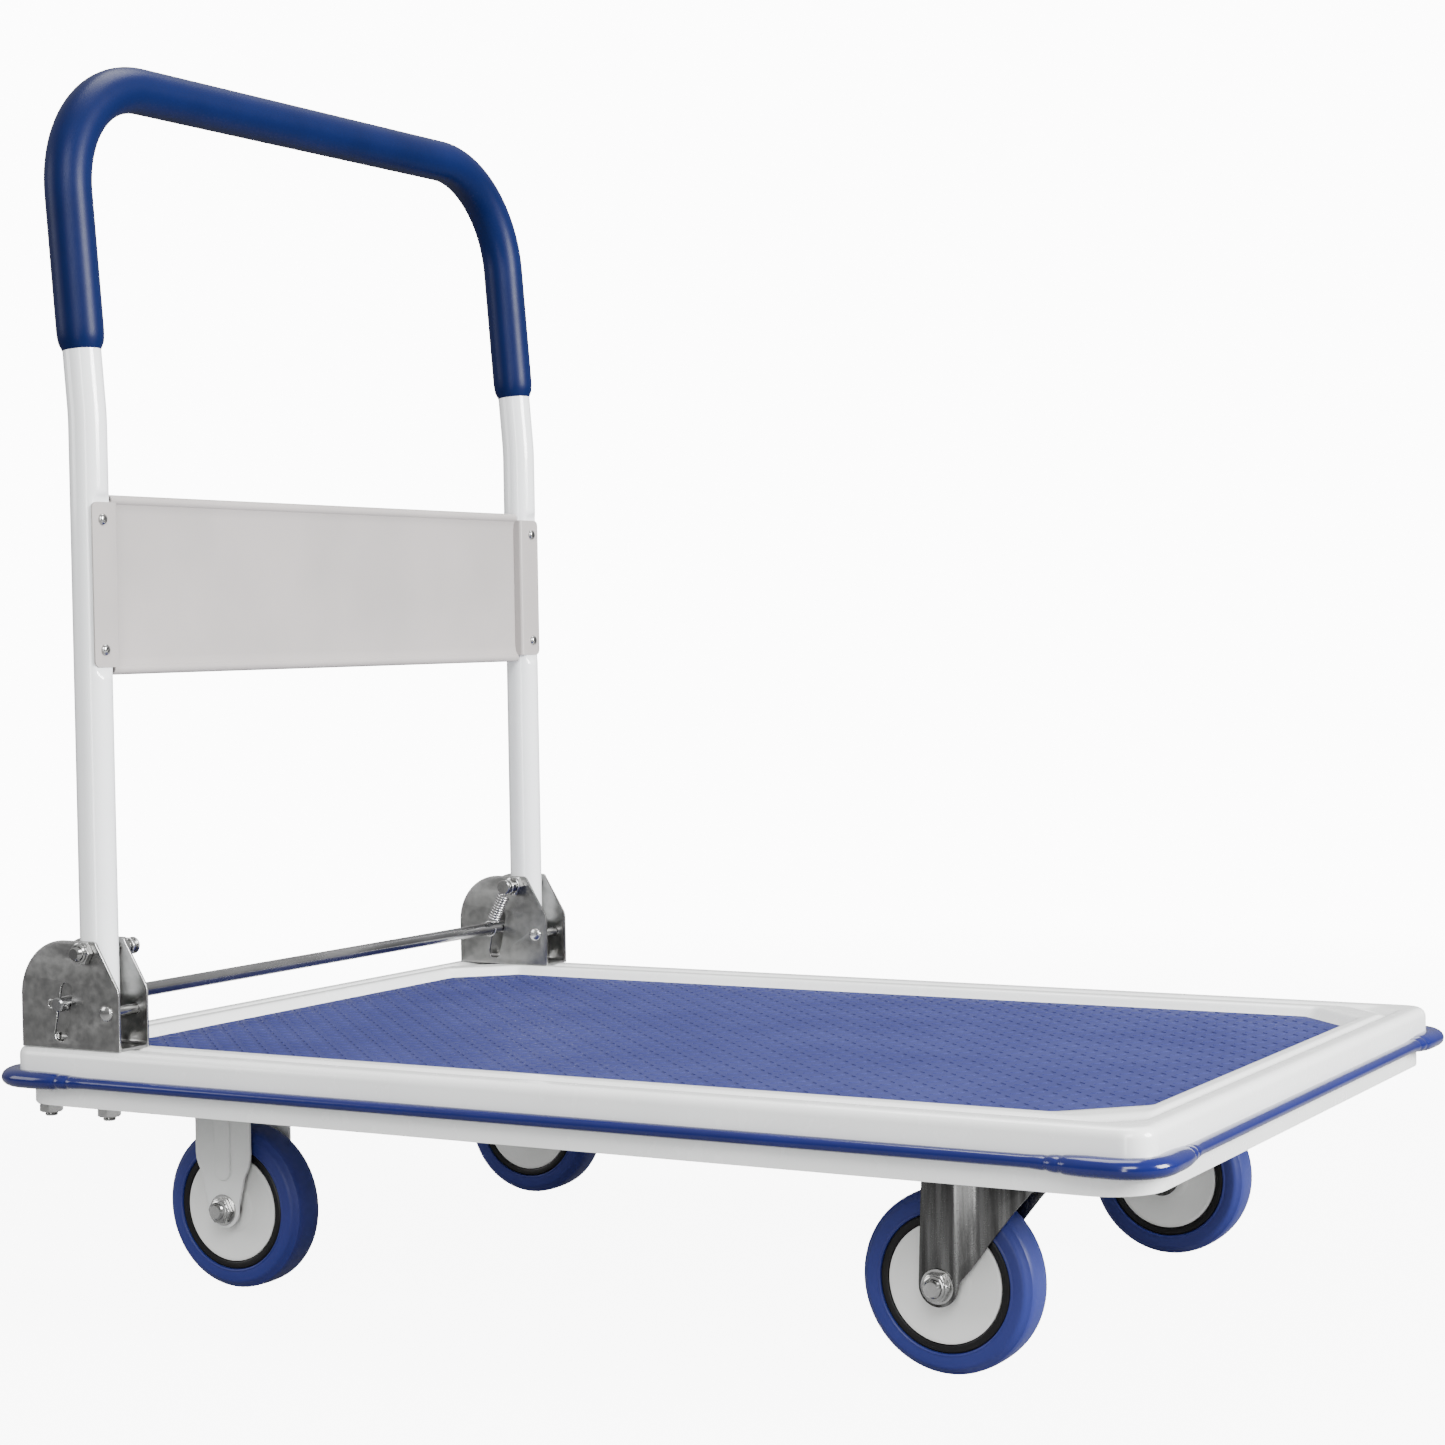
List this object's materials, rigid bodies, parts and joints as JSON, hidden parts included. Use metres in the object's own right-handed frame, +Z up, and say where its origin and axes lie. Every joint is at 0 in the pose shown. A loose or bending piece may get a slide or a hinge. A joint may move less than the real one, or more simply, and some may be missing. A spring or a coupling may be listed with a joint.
{
  "type": "folding platform cart",
  "caption": "Flat-bed platform cart with a bumper-edged steel deck, fixed and swivel casters and a push handle that folds forward over the deck.",
  "frame": {"origin": "on the floor under the centre of the deck", "axes": "+X towards the front, away from the handle; +Y to the cart's left; +Z up from the floor"},
  "size_m": [0.94, 0.654, 0.9367],
  "materials": {
    "deck_white": "white powder coat, satin",
    "bumper_blue": "glossy deep blue vinyl",
    "mat_blue": "blue tread mat, semi-matte",
    "bracket_zinc": "zinc-plated pressed steel, mottled",
    "bright_zinc": "bright zinc-plated hardware",
    "spring_steel": "plated spring wire",
    "bar_steel": "dark polished steel bar",
    "handle_white": "white gloss powder coat",
    "grip_blue": "blue vinyl grip, satin",
    "panel_grey": "light warm grey paint",
    "fork_grey": "light grey coated pressed steel",
    "swivel_zinc": "bright zinc-plated pressed steel",
    "tyre_blue": "blue elastic rubber, matte",
    "core_black": "black moulded rim core",
    "cover_grey": "light grey moulded cover",
    "bearing_steel": "steel ball bearing"
  },
  "bodies": {
    "deck": {"deck_shell": "deck_white", "lower_frame": "deck_white", "handle_channel": "deck_white", "rear_caster_rail": "deck_white", "front_caster_rail": "deck_white", "stiffener_rails": "deck_white", "bumper": "bumper_blue", "mat": "mat_blue", "bracket_right": "bracket_zinc", "bracket_left": "bracket_zinc", "bracket_bolts": "bright_zinc", "bracket_nuts": "bright_zinc", "stop_pins": "bright_zinc", "pivot_studs": "bright_zinc", "pivot_nuts": "bright_zinc", "spring_right": "spring_steel", "spring_left": "spring_steel", "rigid_fork_right": "fork_grey", "rigid_fork_left": "fork_grey", "rear_axles": "bright_zinc", "rear_axle_nuts": "bright_zinc", "rear_sleeves": "bright_zinc", "swivel_plates": "swivel_zinc", "kingpins": "bright_zinc", "swivel_balls": "bright_zinc", "caster_bolts": "bright_zinc", "caster_nuts": "bright_zinc"},
    "handle": {"handle_tube": "handle_white", "handle_grip": "grip_blue", "handle_panel": "panel_grey", "panel_screws": "bright_zinc", "pivot_bushes": "bright_zinc"},
    "release": {"release_bar": "bar_steel", "bar_pins": "bright_zinc"},
    "swivel_right": {"swivel_fork_right": "swivel_zinc", "front_axle_right": "bright_zinc", "front_axle_nut_right": "bright_zinc", "front_sleeve_right": "bright_zinc"},
    "swivel_left": {"swivel_fork_left": "swivel_zinc", "front_axle_left": "bright_zinc", "front_axle_nut_left": "bright_zinc", "front_sleeve_left": "bright_zinc"},
    "wheel_rear_right": {"tyre_rear_right": "tyre_blue", "core_rear_right": "core_black", "covers_rear_right": "cover_grey", "bearings_rear_right": "bearing_steel"},
    "wheel_rear_left": {"tyre_rear_left": "tyre_blue", "core_rear_left": "core_black", "covers_rear_left": "cover_grey", "bearings_rear_left": "bearing_steel"},
    "wheel_front_right": {"tyre_front_right": "tyre_blue", "core_front_right": "core_black", "covers_front_right": "cover_grey", "bearings_front_right": "bearing_steel"},
    "wheel_front_left": {"tyre_front_left": "tyre_blue", "core_front_left": "core_black", "covers_front_left": "cover_grey", "bearings_front_left": "bearing_steel"}
  },
  "joints": [
    {"name": "handle_fold", "type": "hinge", "parent": "deck", "child": "handle", "pos_m": [-0.382, 0, 0.264], "axis": [0, 1, 0], "range_deg": [0, 96]},
    {"name": "release_press", "type": "slide", "parent": "deck", "child": "release", "axis": [-0.1933, 0, -0.9811], "range_m": [0, 0.022], "stiffness_N_per_m": 900, "springref_m": -0.02, "deforming": ["spring_right", "spring_left"]},
    {"name": "swivel_turn_right", "type": "hinge", "parent": "deck", "child": "swivel_right", "pos_m": [0.314, -0.206, 0.14], "axis": [0, 0, 1], "continuous": true},
    {"name": "swivel_turn_left", "type": "hinge", "parent": "deck", "child": "swivel_left", "pos_m": [0.314, 0.206, 0.14], "axis": [0, 0, 1], "continuous": true},
    {"name": "wheel_spin_rear_right", "type": "hinge", "parent": "deck", "child": "wheel_rear_right", "pos_m": [-0.319, -0.206, 0.0625], "axis": [0, 1, 0], "continuous": true},
    {"name": "wheel_spin_front_right", "type": "hinge", "parent": "swivel_right", "child": "wheel_front_right", "pos_m": [0.278, -0.206, 0.0625], "axis": [0, 1, 0], "continuous": true},
    {"name": "wheel_spin_rear_left", "type": "hinge", "parent": "deck", "child": "wheel_rear_left", "pos_m": [-0.319, 0.206, 0.0625], "axis": [0, 1, 0], "continuous": true},
    {"name": "wheel_spin_front_left", "type": "hinge", "parent": "swivel_left", "child": "wheel_front_left", "pos_m": [0.278, 0.206, 0.0625], "axis": [0, 1, 0], "continuous": true}
  ]
}
